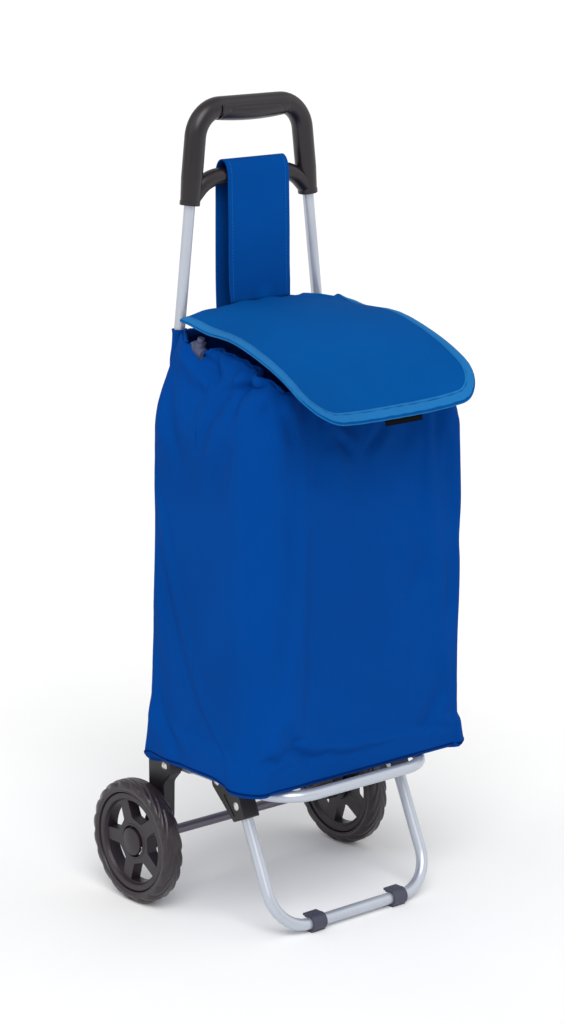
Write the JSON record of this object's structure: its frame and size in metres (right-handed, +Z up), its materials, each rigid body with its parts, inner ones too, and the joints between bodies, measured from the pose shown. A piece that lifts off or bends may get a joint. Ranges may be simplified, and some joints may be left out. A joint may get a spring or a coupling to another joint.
{
  "type": "shopping trolley",
  "caption": "Folding shopping trolley on two spoked wheels: tube frame with moulded handle, hinged shelf and front leg, and a soft bag with a drawstring mouth and flap lid.",
  "frame": {"origin": "on the floor, at the middle of the object's box", "axes": "+Z up, -Y the front (lid and leg side), +Y the wheels and uprights, +X the trolley's right seen from the front"},
  "size_m": [0.3492, 0.363, 0.9505],
  "materials": {
    "tyre": "satin black moulded tyre",
    "rim_plastic": "satin black moulded plastic",
    "nylon": "natural nylon",
    "bare_steel": "zinc plated",
    "silver_tube": "silver powder coat",
    "bracket_plastic": "satin black moulded plastic",
    "foot_plastic": "grey-black moulded plastic",
    "handle_plastic": "satin black moulded plastic",
    "grip_rubber": "pebbled soft grip",
    "bag_cloth": "woven polyester, royal blue",
    "strap_cloth": "woven polyester, royal blue",
    "lid_cloth": "woven polyester, royal blue",
    "binding_tape": "woven edge tape, lighter blue",
    "touch_tape": "black touch fastener",
    "cord": "braided cord",
    "lock_plastic": "grey moulded plastic"
  },
  "bodies": {
    "root": {"axle": "bare_steel", "bag_back": "bag_cloth", "bag_floor": "bag_cloth", "bag_front": "bag_cloth", "bag_side_left": "bag_cloth", "bag_side_right": "bag_cloth", "bag_sleeve_left": "bag_cloth", "bag_sleeve_right": "bag_cloth", "base_piping": "bag_cloth", "bracket_screws": "bare_steel", "drawcord": "cord", "handle": "handle_plastic", "handle_pad": "grip_rubber", "handle_screws": "bare_steel", "hub_cap_left": "rim_plastic", "hub_cap_right": "rim_plastic", "loop_strip": "touch_tape", "mouth_hem": "bag_cloth", "rear_bracket_left": "bracket_plastic", "rear_bracket_right": "bracket_plastic", "shelf_pivot_rivets": "bare_steel", "shelf_pivot_washers": "nylon", "split_pins": "bare_steel", "strap": "strap_cloth", "upright_left": "silver_tube", "upright_right": "silver_tube", "wheel_washers": "bare_steel"},
    "wheel_left": {"tyre_left": "tyre", "rim_left": "rim_plastic", "wheel_bush_left": "nylon"},
    "wheel_right": {"tyre_right": "tyre", "rim_right": "rim_plastic", "wheel_bush_right": "nylon"},
    "shelf": {"shelf_tube": "silver_tube", "leg_pivot_rivets": "bare_steel"},
    "leg": {"leg_tube": "silver_tube", "leg_bracket_left": "bracket_plastic", "leg_bracket_right": "bracket_plastic", "leg_rivets": "bare_steel", "foot_clip_left": "foot_plastic", "foot_clip_right": "foot_plastic"},
    "lid": {"lid_panel": "lid_cloth", "lid_binding": "binding_tape", "hook_strip": "touch_tape"},
    "cord_lock": {"cord_lock": "lock_plastic"},
    "lock_button": {"cord_lock_button": "lock_plastic"}
  },
  "joints": [
    {"name": "wheel_left_spin", "type": "hinge", "parent": "root", "child": "wheel_left", "pos_m": [-0.1615, 0.1065, 0.075], "axis": [1, 0, 0], "continuous": true},
    {"name": "wheel_right_spin", "type": "hinge", "parent": "root", "child": "wheel_right", "pos_m": [0.1615, 0.1065, 0.075], "axis": [1, 0, 0], "continuous": true},
    {"name": "shelf_fold", "type": "hinge", "parent": "root", "child": "shelf", "pos_m": [0, 0.0765, 0.171], "axis": [-1, 0, 0], "range_deg": [0, 80], "deforming": ["bag_back", "bag_floor", "bag_front", "bag_side_left", "bag_side_right", "mouth_hem", "base_piping", "drawcord", "loop_strip"]},
    {"name": "leg_fold", "type": "hinge", "parent": "shelf", "child": "leg", "pos_m": [0, -0.0055, 0.171], "axis": [1, 0, 0], "range_deg": [0, 112.5]},
    {"name": "lid_open", "type": "hinge", "parent": "root", "child": "lid", "pos_m": [0, 0.068, 0.703], "axis": [-1, 0, 0], "range_deg": [0, 75]},
    {"name": "cord_lock_shift", "type": "slide", "parent": "root", "child": "cord_lock", "axis": [0, 1, 0], "range_m": [0, 0.0272]},
    {"name": "lock_button_press", "type": "slide", "parent": "cord_lock", "child": "lock_button", "axis": [0, 0.2462, -0.9692], "range_m": [0, 0.003], "stiffness_N_per_m": 300, "springref_m": -0.001}
  ],
  "couplings": [
    {"joint": "leg_fold", "follows": "shelf_fold", "ratio": 1.4},
    {"joint": "cord_lock_shift", "follows": "shelf_fold", "m_per_rad": 0.019337}
  ]
}
